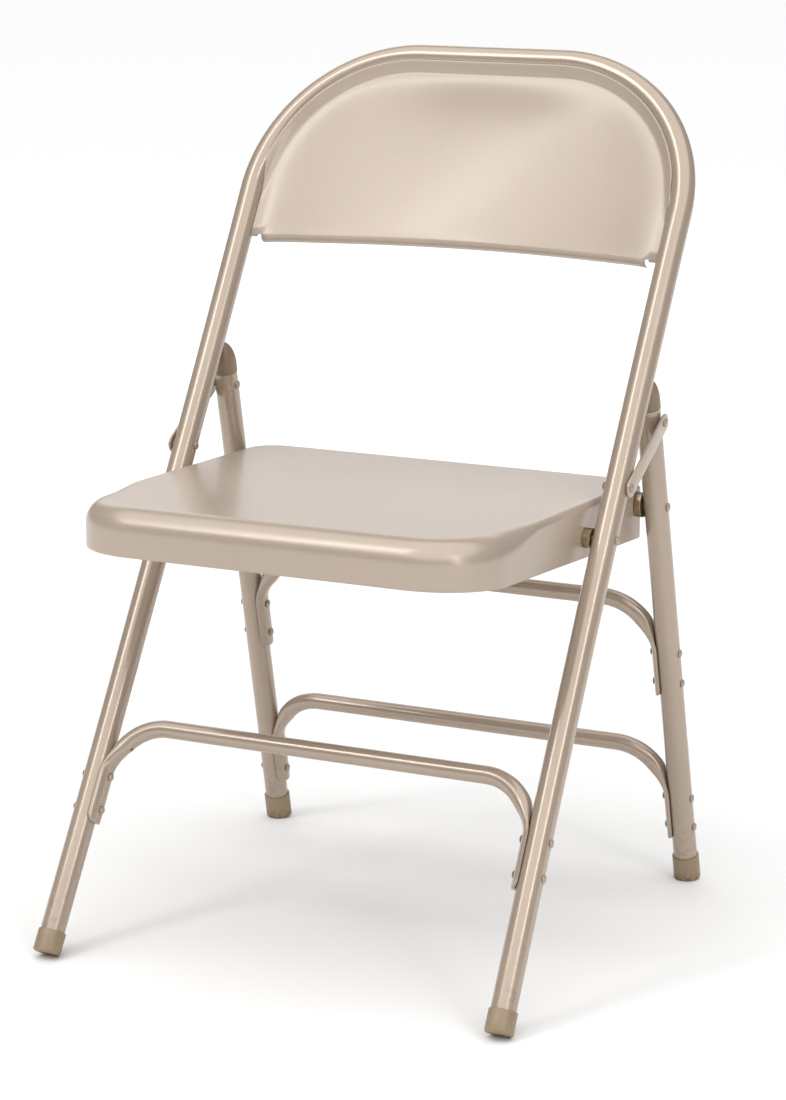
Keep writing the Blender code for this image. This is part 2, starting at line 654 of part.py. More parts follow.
def make_brace_rivets(prefix, place, half, bar_along, parent, pivot, paint):
    for side, side_name in ((-1, "right"), (1, "left")):
        for down, level in zip(BRACE_RIVETS_DOWN, ("upper", "lower")):
            along = bar_along - down
            outer = half(along) + TUBE_RADIUS + TOUCH_GAP
            inner = half(along) - TUBE_RADIUS - BRACE_FLAT - 3 * TOUCH_GAP
            bm = rivet(inner, outer, place(0, along), side, BRACE_RIVET_RADIUS,
                       BRACE_HEAD_RADIUS)
            make_object(f"{prefix}_rivet_{level}_{side_name}", bm, parent, pivot, paint)


# ---- feet ------------------------------------------------------------------
def make_foot(name, low, high, lean, parent, pivot, rubber, edge_steps=3):
    """A cup on a leg's end, square to the leg, with its heel cut level on the floor."""
    bore = TUBE_RADIUS + SLIP_GAP
    bottom = foot_bottom(lean)
    inside = bottom + FOOT_SOLE - TOUCH_GAP
    profile = [(0, bottom)]
    for step in range(edge_steps + 1):
        angle = math.radians(90) * step / edge_steps
        profile.append((FOOT_RADIUS - FOOT_EDGE * (1 - math.sin(angle)),
                        bottom + FOOT_EDGE * (1 - math.cos(angle))))
    profile += [(FOOT_RADIUS, FOOT_HEIGHT), (bore, FOOT_HEIGHT), (bore, inside), (0, inside)]
    bm = turned(profile, LEG_SIDES, low, (high - low).normalized())
    level = bmesh.ops.bisect_plane(bm, geom=bm.verts[:] + bm.edges[:] + bm.faces[:],
                                   plane_co=(0, 0, 0), plane_no=(0, 0, -1), clear_outer=True)
    rim = [item for item in level["geom_cut"] if isinstance(item, bmesh.types.BMEdge)]
    bmesh.ops.contextual_create(bm, geom=rim)
    make_object(name, bm, parent, pivot, rubber)


# ---- links and their rivets ------------------------------------------------
def make_link(side, name, parent, paint):
    """A flat strip with round ends on the outer side of both tubes."""
    direction = (LINK_REAR_PIVOT - LINK_PIVOT).normalized()
    first = math.atan2(direction.z, direction.y)
    bm = bmesh.new()
    verts = []
    steps = 8
    for centre, start in ((LINK_REAR_PIVOT, first - math.radians(90)),
                          (LINK_PIVOT, first + math.radians(90))):
        for step in range(steps + 1):
            angle = start + math.pi * step / steps
            spot = Vector((side * LINK_INNER_FACE, centre.y, centre.z))
            reach = Vector((0, math.cos(angle), math.sin(angle))) * LINK_WIDTH / 2
            verts.append(bm.verts.new(spot + reach))
    face = bm.faces.new(verts)
    grown = bmesh.ops.extrude_face_region(bm, geom=[face])["geom"]
    moved = [item for item in grown if isinstance(item, bmesh.types.BMVert)]
    bmesh.ops.translate(bm, vec=(side * LINK_THICKNESS, 0, 0), verts=moved)
    link = make_object(name, bm, parent, LINK_PIVOT, paint)
    holes = bmesh.new()
    for pivot in (LINK_PIVOT, LINK_REAR_PIVOT):
        add_bar_across(holes, pivot, side * (LINK_INNER_FACE - LINK_THICKNESS),
                       side * (LINK_INNER_FACE + 2 * LINK_THICKNESS),
                       PIVOT_RIVET_RADIUS + HOLE_GAP)
    cut(link, holes, LINK_PIVOT, "rivet_holes")


def make_link_rivets(side, side_name, frame, leg, link, paint):
    """The front rivet is whole. The rear one is made as a leg half and a link half."""
    outer = LINK_INNER_FACE + LINK_THICKNESS + TOUCH_GAP
    inner = front_half(LINK_FRONT_ALONG) - TUBE_RADIUS - TOUCH_GAP
    bm = rivet(inner, outer, LINK_PIVOT, side, PIVOT_RIVET_RADIUS, PIVOT_HEAD_RADIUS)
    make_object(f"link_front_rivet_{side_name}", bm, frame, Vector(), paint)

    inner = rear_half(LINK_REAR_ALONG) - TUBE_RADIUS - TOUCH_GAP
    length = LINK_INNER_FACE - TOUCH_GAP - inner
    tip = [(r, -h) for r, h in dome(PIVOT_HEAD_RADIUS, HEAD_HEIGHT, 0.0)][::-1]
    profile = tip + [(PIVOT_RIVET_RADIUS, 0), (PIVOT_RIVET_RADIUS, length), (0, length)]
    start = Vector((side * inner, LINK_REAR_PIVOT.y, LINK_REAR_PIVOT.z))
    make_object(f"link_rear_rivet_{side_name}",
                turned(profile, RIVET_SIDES, start, ACROSS * side), leg, REAR_PIVOT, paint)

    length = LINK_THICKNESS + TOUCH_GAP
    profile = [(0, 0), (PIVOT_RIVET_RADIUS, 0), (PIVOT_RIVET_RADIUS, length)]
    profile += dome(PIVOT_HEAD_RADIUS, HEAD_HEIGHT, length)
    start = Vector((side * LINK_INNER_FACE, LINK_REAR_PIVOT.y, LINK_REAR_PIVOT.z))
    make_object(f"link_rear_rivet_head_{side_name}",
                turned(profile, RIVET_SIDES, start, ACROSS * side), link, LINK_PIVOT, paint)


def make_seat_rivets(side, side_name, frame, leg, steel, metal):
    """The seat turns on a rivet through each front tube and one through each rear leg."""
    skirt = SEAT_HALF_WIDTH + TOUCH_GAP
    inner = SEAT_HALF_WIDTH - SEAT_SHEET - TOUCH_GAP
    bore = PIVOT_RIVET_RADIUS + HOLE_GAP
    for label, pivot, half, holder, origin, radius in (
            ("seat_pivot", SEAT_PIVOT, front_half(SEAT_PIVOT.length), frame, Vector(),
             SPACER_RADIUS),
            ("seat_rear", REAR_PIVOT, rear_half(REAR_PIVOT_ALONG), leg, REAR_PIVOT,
             REAR_SPACER_RADIUS)):
        outer = half + TUBE_RADIUS + TOUCH_GAP
        bm = rivet(inner, outer, pivot, side, PIVOT_RIVET_RADIUS, PIVOT_HEAD_RADIUS)
        make_object(f"{label}_rivet_{side_name}", bm, holder, origin, steel)
        face = half - TUBE_RADIUS - TOUCH_GAP
        bm = ring_spacer(skirt, face, pivot, side, radius, bore)
        make_object(f"{label}_spacer_{side_name}", bm, holder, origin, metal)


# ---- the chair -------------------------------------------------------------
def centre_on_floor(root):
    """Stand the chair at the origin: box centred in X and Y, lowest point at Z = 0."""
    bpy.context.view_layer.update()
    depsgraph = bpy.context.evaluated_depsgraph_get()
    corners = []
    for thing in bpy.data.objects:
        if thing.type == 'MESH' and not thing.hide_render:
            evaluated = thing.evaluated_get(depsgraph)
            corners += [evaluated.matrix_world @ v.co for v in evaluated.data.vertices]
    back = max(corner.y for corner in corners)
    front = min(corner.y for corner in corners)
    floor = min(corner.z for corner in corners)
    root.location = (0, -(front + back) / 2, -floor)


def main():
    clear_scene()
    paint = make_material("beige_paint", (0.56, 0.46, 0.37), 0.30)
    pan_paint = make_material("beige_pan_paint", (0.58, 0.47, 0.38), 0.28)
    rivet_paint = make_material("painted_rivet", (0.52, 0.42, 0.33), 0.35)
    bare_steel = make_material("zinc_spacer", (0.50, 0.44, 0.34), 0.40, 0.9)
    vinyl = make_material("tan_vinyl", (0.36, 0.25, 0.15), 0.55)
    cap_plastic = make_material("tan_plastic", (0.40, 0.28, 0.17), 0.45)

    root = make_empty("folding_chair", Vector())
    seat_axis = make_empty("seat_axis", SEAT_PIVOT, root)
    leg_axis = make_empty("rear_leg_axis", REAR_PIVOT, root)
    link_axis = make_empty("link_axis", LINK_PIVOT, root)

    make_front_frame(root, paint)
    make_backrest(root, pan_paint)
    make_seat(seat_axis, pan_paint)
    make_brace("front_brace", on_front, front_half, FRONT_BRACE_ALONG, root, Vector(), paint)
    make_brace_rivets("front_brace", on_front, front_half, FRONT_BRACE_ALONG, root, Vector(),
                      rivet_paint)
    for name, along in (("rear_upper_brace", REAR_UPPER_BRACE_ALONG),
                        ("rear_lower_brace", REAR_LOWER_BRACE_ALONG)):
        make_brace(name, on_rear, rear_half, along, leg_axis, REAR_PIVOT, paint)
        make_brace_rivets(name, on_rear, rear_half, along, leg_axis, REAR_PIVOT, rivet_paint)

    # Seen by someone sitting on the chair, left is +X.
    for side, side_name in ((-1, "right"), (1, "left")):
        make_rear_leg(side, f"rear_leg_{side_name}", leg_axis, paint)
        make_rear_cap(side, f"rear_leg_cap_{side_name}", leg_axis, cap_plastic)
        make_foot(f"front_foot_{side_name}", on_front(side * front_half(0), 0),
                  on_front(side * front_half(2 * FOOT_HEIGHT), 2 * FOOT_HEIGHT),
                  FRAME_LEAN, root, Vector(), vinyl)
        make_foot(f"rear_foot_{side_name}", rear_place(side, 0), rear_place(side, FOOT_HEIGHT),
                  REAR_LEAN, leg_axis, REAR_PIVOT, vinyl)
        make_link(side, f"hinge_link_{side_name}", link_axis, paint)
        make_link_rivets(side, side_name, root, leg_axis, link_axis, rivet_paint)
        make_seat_rivets(side, side_name, root, leg_axis, rivet_paint, bare_steel)

    centre_on_floor(root)


main()
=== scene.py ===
# %% [markdown]
# # A steel folding chair
#
# This lesson dresses the working model of a folding chair. The real chair is almost all
# painted steel: one bent tube makes the front legs and the arch of the back, two straight
# tubes make the rear legs, and two stamped sheets make the seat and the backrest. The
# frame file holds the plain solids and their bodies. Each one is shown here by a finer
# piece that rides on the same body, so the chair still folds.

import json
import math

import bmesh
import bpy
from mathutils import Matrix, Vector


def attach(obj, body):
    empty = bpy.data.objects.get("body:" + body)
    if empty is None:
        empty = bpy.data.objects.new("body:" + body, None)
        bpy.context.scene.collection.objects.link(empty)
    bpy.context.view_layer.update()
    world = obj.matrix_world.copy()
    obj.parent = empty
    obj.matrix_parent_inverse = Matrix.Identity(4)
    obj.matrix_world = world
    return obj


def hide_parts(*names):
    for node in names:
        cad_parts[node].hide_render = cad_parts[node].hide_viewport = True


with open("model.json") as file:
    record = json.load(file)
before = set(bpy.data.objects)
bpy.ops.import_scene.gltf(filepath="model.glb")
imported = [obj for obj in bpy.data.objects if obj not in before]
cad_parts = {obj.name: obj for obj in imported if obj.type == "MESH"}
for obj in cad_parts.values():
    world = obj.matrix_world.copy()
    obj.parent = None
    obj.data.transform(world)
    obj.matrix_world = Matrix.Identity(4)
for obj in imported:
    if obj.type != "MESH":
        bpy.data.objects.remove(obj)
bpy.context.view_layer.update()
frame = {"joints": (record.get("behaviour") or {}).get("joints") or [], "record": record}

# %% [markdown]
# ## Where things are
#
# Two slanted planes hold most of the chair: the plane of the front tube and the plane of
# the rear legs. A place on either is given as across the chair, up the tube from the
# floor, and behind the tube's axis. The record's joints give one point on each plane, so
# the pieces can't drift away from the pivots they turn on.

# %% The two slanted planes
FRONT_LEAN = 32.1           # degrees back from upright
REAR_LEAN = -12.9
LINK_ABOVE = 0.0835         # up the rear leg, from the seat's rear pivot to the link's
WAIST_UP = 0.520
WAIST_HALF = 0.216
WAIST_SPREAD = 0.0044       # how much further out each tube is at the floor
REAR_FLOOR_HALF = 0.220
REAR_LINK_HALF = 0.2145
pivots = {joint["name"]: Vector(joint["pos_m"]) for joint in frame["joints"]}
SEAT_PIVOT = pivots["seat_fold"]
REAR_PIVOT = pivots["rear_leg_fold"]
LINK_PIVOT = pivots["link_left_swing"]
ACROSS = Vector((1, 0, 0))


def slanted_plane(lean, pivot):
    """Up the tube, behind it, and the point where its axis meets the floor."""
    up = Vector((0, math.sin(lean), math.cos(lean)))
    behind = Vector((0, math.cos(lean), -math.sin(lean)))
    return up, behind, pivot - up * (pivot.z / math.cos(lean))


UP_FRONT, BEHIND_FRONT, FRONT_FLOOR = slanted_plane(math.radians(FRONT_LEAN), SEAT_PIVOT)
UP_REAR, BEHIND_REAR, REAR_FLOOR = slanted_plane(math.radians(REAR_LEAN), REAR_PIVOT)
REAR_PIVOT_UP = (REAR_PIVOT - REAR_FLOOR).length
SEAT_PIVOT_UP = (SEAT_PIVOT - FRONT_FLOOR).length
LINK_REAR_UP = REAR_PIVOT_UP + LINK_ABOVE
LINK_FRONT_UP = (LINK_PIVOT - FRONT_FLOOR).length


def on_front(across, up, behind=0.0):
    return FRONT_FLOOR + ACROSS * across + UP_FRONT * up + BEHIND_FRONT * behind


def on_rear(across, up, behind=0.0):
    return REAR_FLOOR + ACROSS * across + UP_REAR * up + BEHIND_REAR * behind


def soft(share):
    """Ease from 0 to 1 without a corner at either end."""
    share = min(max(share, 0.0), 1.0)
    return share * share * (3 - 2 * share)


def front_half(up):
    """Half the spacing of the front tubes: narrowest at the waist."""
    return WAIST_HALF + WAIST_SPREAD * ((up - WAIST_UP) / WAIST_UP) ** 2


def rear_half(up):
    """Half the spacing of the rear legs: they splay evenly to the floor."""
    return REAR_FLOOR_HALF - (REAR_FLOOR_HALF - REAR_LINK_HALF) * up / LINK_REAR_UP


print("seat pivot", SEAT_PIVOT, "link turns at", round(LINK_FRONT_UP, 4), "up the front tube")

# %% [markdown]
# ## The sizes the pieces share
#
# The frame is 7/8 inch tube and the braces 5/8 inch. Pieces that touch on the real chair
# stand 0.3 mm apart here, as the solids do, which also draws the thin dark line that
# paint leaves at such a joint.

# %% Sizes
TUBE = 0.0111
BRACE_TUBE = 0.00795
GAP = 0.0003
TUBE_SIDES = 48
RIVET_SIDES = 24
HEAD = 0.0018               # how far a rivet head stands out
FRAME_HEIGHT = 0.776
ARCH_RADIUS = 0.146
FRAME_TOP = (FRAME_HEIGHT - TUBE) / UP_FRONT.z
ARCH_UP = FRAME_TOP - ARCH_RADIUS
ARCH_TILT = math.atan(2 * WAIST_SPREAD * (ARCH_UP - WAIST_UP) / WAIST_UP ** 2)
ARCH_CENTRE = front_half(ARCH_UP) - ARCH_RADIUS * math.cos(ARCH_TILT)
LINK_CLEAR = 0.0008
LINK_FACE = max(front_half(LINK_FRONT_UP), rear_half(LINK_REAR_UP)) + TUBE + LINK_CLEAR
LINK_SHEET = 0.0020
SEAT_HALF = 0.1975
SEAT_SHEET = 0.0012
print("arch begins", round(ARCH_UP, 4), "up the tube and", round(ARCH_CENTRE, 4), "off centre")

# %% [markdown]
# ## Shader maths as plain expressions
#
# A finish is a small network of nodes. Written one node at a time it is hard to read, so
# `Wire` wraps a socket and lets numbers be added and multiplied as in ordinary Python.
# `Finish` owns the material and adds any other node through one method, which sets the
# node's settings first and then its sockets.

# %% Wire and Finish
class Wire:
    """A number flowing between nodes, with the arithmetic the finishes use."""

    def __init__(self, finish, socket):
        self.finish = finish
        self.socket = socket

    def combine(self, operation, first, second):
        return self.finish.node("ShaderNodeMath", {"operation": operation}, {0: first, 1: second})

    def __add__(self, other):
        return self.combine("ADD", self, other)

    def __sub__(self, other):
        return self.combine("SUBTRACT", self, other)

    def __rsub__(self, other):
        return self.combine("SUBTRACT", other, self)

    def __mul__(self, other):
        return self.combine("MULTIPLY", self, other)

    __radd__ = __add__
    __rmul__ = __mul__


class Finish:
    """One material and the ways to add to it."""

    def __init__(self, name):
        self.material = bpy.data.materials.new(name)
        self.material.use_nodes = True
        self.tree = self.material.node_tree
        self.shader = self.tree.nodes["Principled BSDF"]
        self.place = self.node("ShaderNodeTexCoord", {}, {}, "Object")

    def node(self, kind, settings, sockets, output=0):
        node = self.tree.nodes.new(kind)
        for name, value in settings.items():
            setattr(node, name, value)
        for name, value in sockets.items():
            if isinstance(value, Wire):
                self.tree.links.new(value.socket, node.inputs[name])
            else:
                node.inputs[name].default_value = value
        return Wire(self, node.outputs[output])

    def noise(self, scale, detail=2.0, stretch=(1, 1, 1), start=(0, 0, 0)):
        """Cloudy noise, 0 to 1, with scale counted per metre."""
        spot = self.node("ShaderNodeMapping", {}, {"Vector": self.place, "Scale": stretch,
                                                   "Location": start})
        return self.node("ShaderNodeTexNoise", {}, {"Vector": spot, "Scale": scale,
                                                    "Detail": detail, "Roughness": 0.55})

    def step(self, value, low, high, bottom=0.0, top=1.0):
        """A soft step from bottom to top as the value goes from low to high."""
        return self.node("ShaderNodeMapRange", {"interpolation_type": "SMOOTHSTEP"},
                         {"Value": value, "From Min": low, "From Max": high,
                          "To Min": bottom, "To Max": top})

    def blend(self, share, first, second):
        """Mix two colours, which may be links or plain numbers."""
        kinds = [c if isinstance(c, Wire) else (*c, 1.0) for c in (first, second)]
        return self.node("ShaderNodeMix", {"data_type": "RGBA"},
                         {0: share, 6: kinds[0], 7: kinds[1]}, 2)

    def height(self):
        """How high a place is above the floor when the chair stands."""
        return self.node("ShaderNodeSeparateXYZ", {}, {"Vector": self.place}, 2)

    def set(self, **sockets):
        for name, value in sockets.items():
            socket = self.shader.inputs[name.replace("_", " ")]
            if isinstance(value, Wire):
                self.tree.links.new(value.socket, socket)
            else:
                socket.default_value = value

    def bump(self, height, depth):
        """Raise the surface by height times depth, in metres."""
        return self.node("ShaderNodeBump", {}, {"Height": height, "Distance": depth,
                                                "Strength": 1.0})


# %% [markdown]
# ## Enamel
#
# The chair is sprayed with beige enamel. Under close light such paint has a fine orange
# peel, a slight drift of colour where it lies thicker, specks of dust, and a gloss that
# changes from place to place where it has been handled. One function makes it for the
# tubes, the sheets and the rivet heads, because they are painted together, and its
# numbers say how much of each shows.

# %% The beige enamel
def enamel(name, colour, gloss, flake, waves, handled):
    """Painted steel. flake is the share of metal in the paint, waves how much the sheet
    under it waves, and handled how scuffed it is."""
    paint = Finish(name)
    drift = paint.step(paint.noise(7.0, 1.0), 0.20, 0.80)
    specks = paint.step(paint.noise(240.0, 1.0, start=(3, 1, 2)), 0.50, 0.85)
    thick = [value * 1.045 for value in colour]
    thin = [value * 0.955 for value in colour]
    body = paint.blend(drift, thin, thick)
    body = paint.blend(specks * 0.12, body, [value * 0.70 for value in colour])
    rubs = paint.step(paint.noise(38.0, 3.0, (1, 1, 0.3), (5, 2, 8)), 0.48, 0.92)
    marks = rubs * handled
    body = paint.blend(marks * 0.25, body, [value * 0.85 for value in colour])
    low = paint.step(paint.height(), 0.10, 0.02)
    scuffs = paint.step(paint.noise(130.0, 4.0, start=(9, 9, 1)), 0.50, 0.66)
    body = paint.blend(low * scuffs * 0.30, body, (0.20, 0.165, 0.13))
    peel = paint.noise(340.0, 1.5, start=(2, 6, 3))
    waving = paint.noise(5.0, 1.0, start=(4, 4, 4))
    relief = peel * 0.000014 + waving * waves
    paint.set(Base_Color=body, Roughness=gloss + marks * 0.16 + drift * 0.03 + low * 0.10,
              Normal=paint.bump(relief, 1.0), Coat_Weight=0.15 - marks * 0.12)
    paint.shader.inputs["Metallic"].default_value = flake
    paint.shader.inputs["Coat Roughness"].default_value = 0.12
    paint.shader.inputs["Specular IOR Level"].default_value = 0.55
    return paint.material


BEIGE = (0.430, 0.345, 0.272)
SHEET_BEIGE = (0.450, 0.368, 0.296)
tube_enamel = enamel("beige_enamel_on_tube", BEIGE, 0.20, 0.32, 0.0, 0.20)
sheet_enamel = enamel("beige_enamel_on_sheet", SHEET_BEIGE, 0.29, 0.24, 0.0004, 0.16)
back_enamel = enamel("beige_enamel_on_backrest", SHEET_BEIGE, 0.29, 0.06, 0.0004, 0.16)
rivet_enamel = enamel("beige_enamel_on_rivets", (0.400, 0.320, 0.250), 0.30, 0.30, 0.0, 0.60)
print("enamels", [paint.name for paint in (tube_enamel, sheet_enamel, back_enamel, rivet_enamel)])

# %% [markdown]
# ## Zinc, vinyl and moulded plastic
#
# The spacers between the seat and the legs are plated steel with a yellowish cast. The
# feet are tan vinyl cups, a little translucent-looking and scuffed where they meet the
# floor. The caps on the rear legs are hard plastic of nearly the same tan, with a finer
# moulded grain.

# %% The other finishes
def zinc():
    plate = Finish("yellow_zinc_plate")
    cloud = plate.step(plate.noise(160.0, 3.0), 0.35, 0.65)
    colour = plate.blend(cloud, (0.30, 0.23, 0.13), (0.44, 0.36, 0.23))
    turned = plate.noise(900.0, 1.0, (1, 0.2, 0.2))
    plate.set(Base_Color=colour, Metallic=1.0, Roughness=0.30 + cloud * 0.14,
              Normal=plate.bump(turned, 0.00002))
    return plate.material


def moulded(name, colour, grain, gloss):
    """Tan vinyl or plastic, darker and duller where it rubs on the floor."""
    stuff = Finish(name)
    cloud = stuff.step(stuff.noise(60.0, 3.0), 0.35, 0.65)
    body = stuff.blend(cloud, [v * 0.92 for v in colour], [v * 1.07 for v in colour])
    worn = stuff.step(stuff.height(), 0.012, 0.0)
    patches = stuff.step(stuff.noise(240.0, 4.0, start=(7, 3, 5)), 0.42, 0.62)
    body = stuff.blend(worn * patches * 0.8, body, (0.115, 0.090, 0.068))
    fine = stuff.noise(grain, 2.0, start=(1, 2, 9))
    stuff.set(Base_Color=body, Roughness=gloss + cloud * 0.06 + worn * 0.25,
              Normal=stuff.bump(fine, 0.00004))
    return stuff.material


zinc_plate = zinc()
tan_vinyl = moulded("tan_vinyl", (0.300, 0.220, 0.138), 700.0, 0.38)
tan_plastic = moulded("tan_moulded_plastic", (0.245, 0.178, 0.112), 1400.0, 0.34)
FINISHES = {"frame_paint": tube_enamel, "panel_paint": sheet_enamel, "rivet_paint": rivet_enamel,
            "spacer_steel": zinc_plate, "foot_vinyl": tan_vinyl, "cap_plastic": tan_plastic}
print("finishes", sorted(FINISHES))

# %% [markdown]
# ## From a mesh to a piece of the chair
#
# Every piece stands for one solid. `show` turns a bmesh into an object at the origin,
# puts it on the body its solid is on, hides that solid, and gives it the finish that the
# record names for it. Faces that meet at more than 35 degrees keep a crisp edge. The
# backrest alone asks `show` not to turn its faces, because the way an open sheet faces
# decides on which side its thickness goes.

# %% show
CRISP = math.radians(35)
BODY_OF = {node: body for body, nodes in frame["record"]["behaviour"]["bodies"].items()
           for node in nodes}
SLOT_OF = {entry["node"]: entry["material_slot"] for entry in frame["record"]["subparts"]}


def show(bm, node, finish=None, recalculate=True):
    if recalculate:
        bmesh.ops.remove_doubles(bm, verts=bm.verts, dist=1e-6)
        bmesh.ops.recalc_face_normals(bm, faces=bm.faces)
    mesh = bpy.data.meshes.new("shown_" + node)
    bm.to_mesh(mesh)
    bm.free()
    mesh.shade_smooth()
    mesh.set_sharp_from_angle(angle=CRISP)
    mesh.materials.append(finish or FINISHES[SLOT_OF[node]])
    piece = bpy.data.objects.new("shown_" + node, mesh)
    bpy.context.scene.collection.objects.link(piece)
    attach(piece, BODY_OF[node])
    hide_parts(node)
    return piece


# %% [markdown]
# ## Growing a ring
#
# Tubes, pressed ends and stamped edges all grow the same way: take a ring of edges,
# extrude it, and put the new corners where the next section goes. A layer on the corners
# remembers which part of the ring each one came from, and extruding copies it along.

# %% grow, start_ring, ring_tube and round_sections
def grow(bm, edges, place):
    """Extrude a line of edges and move each new corner to place(corner)."""
    grown = bmesh.ops.extrude_edge_only(bm, edges=edges)["geom"]
    fresh = [item for item in grown if isinstance(item, bmesh.types.BMVert)]
    for corner in fresh:
        corner.co = place(corner)
    kept = set(fresh)
    return [item for item in grown
            if isinstance(item, bmesh.types.BMEdge) and kept.issuperset(item.verts)]


def start_ring(sides):
    """A bmesh with one ring whose corners remember their own place on a unit circle."""
    bm = bmesh.new()
    bmesh.ops.create_circle(bm, cap_ends=False, radius=1.0, segments=sides)
    mark = bm.verts.layers.float_vector.new("round")
    for corner in bm.verts:
        corner[mark] = corner.co
    return bm, mark


def ring_tube(sections, sides):
    """A closed tube through sections, each a function from a unit circle to space."""
    bm, mark = start_ring(sides)
    for corner in bm.verts:
        corner.co = sections[0](corner[mark])
    ring = bm.edges[:]
    bmesh.ops.contextual_create(bm, geom=ring)
    for section in sections[1:]:
        ring = grow(bm, ring, lambda corner: section(corner[mark]))
    bmesh.ops.contextual_create(bm, geom=ring)
    return bm


def round_sections(points, radius, flat):
    """Round sections square to a line of points that lies in one plane."""
    sections = []
    for index, point in enumerate(points):
        ahead = points[min(index + 1, len(points) - 1)] - points[max(index - 1, 0)]
        side = flat.cross(ahead).normalized() * radius
        lift = ahead.cross(side).normalized() * radius
        sections.append(lambda c, p=point, s=side, n=lift: p + s * c.x + n * c.y)
    return sections


# %% [markdown]
# ## The front tube
#
# One tube starts at the right foot, runs up the right leg, over the arch and down to the
# left foot. It is swept along its own centre line, with small steps round the arch so
# that the highlights on it stay unbroken. Its ends are hidden in the feet.

# %% The bent tube of the front legs and the back
FOOT_RADIUS = 0.0126
FOOT_EDGE = 0.0020
FOOT_CUT = 0.0012           # how much of the heel the floor's plane takes off
TUBE_INSIDE = 0.003         # from a foot's end to the end of the tube in it
LEG_STEPS = 30
ARCH_STEPS = 48


def foot_bottom(lean_up):
    """How far up the leg a foot's square end is, so that its heel meets the floor."""
    lean = math.acos(lean_up.z)
    heel = (FOOT_RADIUS - FOOT_EDGE) * math.sin(lean) + FOOT_EDGE * (1 - math.cos(lean))
    return (heel - FOOT_CUT) / math.cos(lean)


def front_path():
    low = foot_bottom(UP_FRONT) + TUBE_INSIDE
    start = ARCH_UP - ARCH_RADIUS * math.sin(ARCH_TILT)
    right = []
    for step in range(LEG_STEPS):
        up = low + (start - low) * step / LEG_STEPS
        right.append((front_half(up), up))
    for step in range(ARCH_STEPS + 1):
        turn = -ARCH_TILT + (math.radians(90) + ARCH_TILT) * step / ARCH_STEPS
        right.append((ARCH_CENTRE + ARCH_RADIUS * math.cos(turn),
                      ARCH_UP + ARCH_RADIUS * math.sin(turn)))
    left = [(-across, up) for across, up in reversed(right)]
    return [on_front(across, up) for across, up in right + left]


front_tube = show(ring_tube(round_sections(front_path(), TUBE, BEHIND_FRONT), TUBE_SIDES),
                  "front_frame")
print("front tube", len(front_tube.data.polygons), "faces")

# %% [markdown]
# ## The rear legs
#
# Each rear leg is a straight tube that splays a little to the floor. A cap closes its
# upper end, and a foot its lower one.

# %% The straight rear tubes
CAP_RADIUS = 0.0115
CAP_COLLAR = 0.0080
CAP_NOSE = 0.0220


def rear_leg_top():
    """Where a rear leg ends, so that its cap rests on the back of the front tube."""
    between = math.radians(FRONT_LEAN - REAR_LEAN)
    reach = math.hypot(CAP_NOSE * math.sin(between), CAP_RADIUS * math.cos(between))
    start = (REAR_PIVOT - SEAT_PIVOT).dot(BEHIND_FRONT)
    return REAR_PIVOT_UP + (start - TUBE - GAP - reach) / math.sin(between) - CAP_COLLAR


LEG_TOP = rear_leg_top()
SIDES = (("left", 1), ("right", -1))
for side_name, side in SIDES:
    ends = (foot_bottom(UP_REAR) + TUBE_INSIDE, LEG_TOP)
    low, high = [on_rear(side * rear_half(up), up) for up in ends]
    points = [low.lerp(high, step / 16) for step in range(17)]
    show(ring_tube(round_sections(points, TUBE, ACROSS), TUBE_SIDES), "rear_leg_" + side_name)
print("rear legs end", round(LEG_TOP, 4), "up")

# %% [markdown]
# ## The braces
#
# A brace is a thinner tube bent into a wide arch. Its ends are pressed: the tube is
# squashed to a double strip that hugs half the leg, and two rivets hold each end. A
# plain flattened tube would stand off the leg at its edges, so each section blends from
# a circle to an arc round the leg's own axis. The last few sections get narrower, which
# rounds the corners of the tip. A drain hole in one bend lets out the paint and water that
# would otherwise stay in the tube.

# %% Pressed-end braces
PRESSED = 0.0040
PRESSED_WIDTH = 0.0240
BRACE_BEND = 0.048
BRACE_END_DOWN = 0.095      # from the bar to the tip
TIP_ROUND = 0.008
TIP_NARROWS = 0.68
RIVETS_DOWN = {"upper": 0.0510, "lower": 0.0820}


def brace_stations(half, bar_up):
    """Half of a brace as (across, up, turn, pressed, width), from its bar to its tip."""
    hug = TUBE + GAP + PRESSED / 2
    bend_up = bar_up - BRACE_BEND
    centre = half(bend_up) - hug - BRACE_BEND
    stations = []
    for step in range(61):
        turn = math.radians(90) * step / 60
        stations.append((centre + BRACE_BEND * math.sin(turn), bend_up + BRACE_BEND * math.cos(turn),
                         turn, soft((math.degrees(turn) - 50) / 40), 1.0))
    for short in (0.030, 0.015, 0.008, 0.0055, 0.0035, 0.0018, 0.0006, 0.0):
        up = bar_up - BRACE_END_DOWN + short
        trim = max(0.0, 1 - short / TIP_ROUND)
        width = 1.0 - TIP_NARROWS * (1 - math.sqrt(max(0.0, 1 - trim * trim)))
        stations.append((half(up) - hug, up, math.radians(90), 1.0, width))
    return stations


def brace_section(place, sign, across, up, turn, pressed, width):
    """A function from the unit circle to one section of a brace."""
    hug = TUBE + GAP + PRESSED / 2

    def section(corner):
        thick = math.copysign(abs(corner.x) ** 0.35, corner.x)
        reach = hug - thick * PRESSED / 2
        round_leg = corner.y * width * PRESSED_WIDTH / 2 / hug
        strip = Vector((hug - reach * math.cos(round_leg), reach * math.sin(round_leg)))
        open_tube = Vector((corner.x, corner.y)) * BRACE_TUBE
        outward, behind = open_tube.lerp(strip, pressed)
        return place(sign * (across + outward * math.sin(turn)),
                     up + outward * math.cos(turn), behind)
    return section


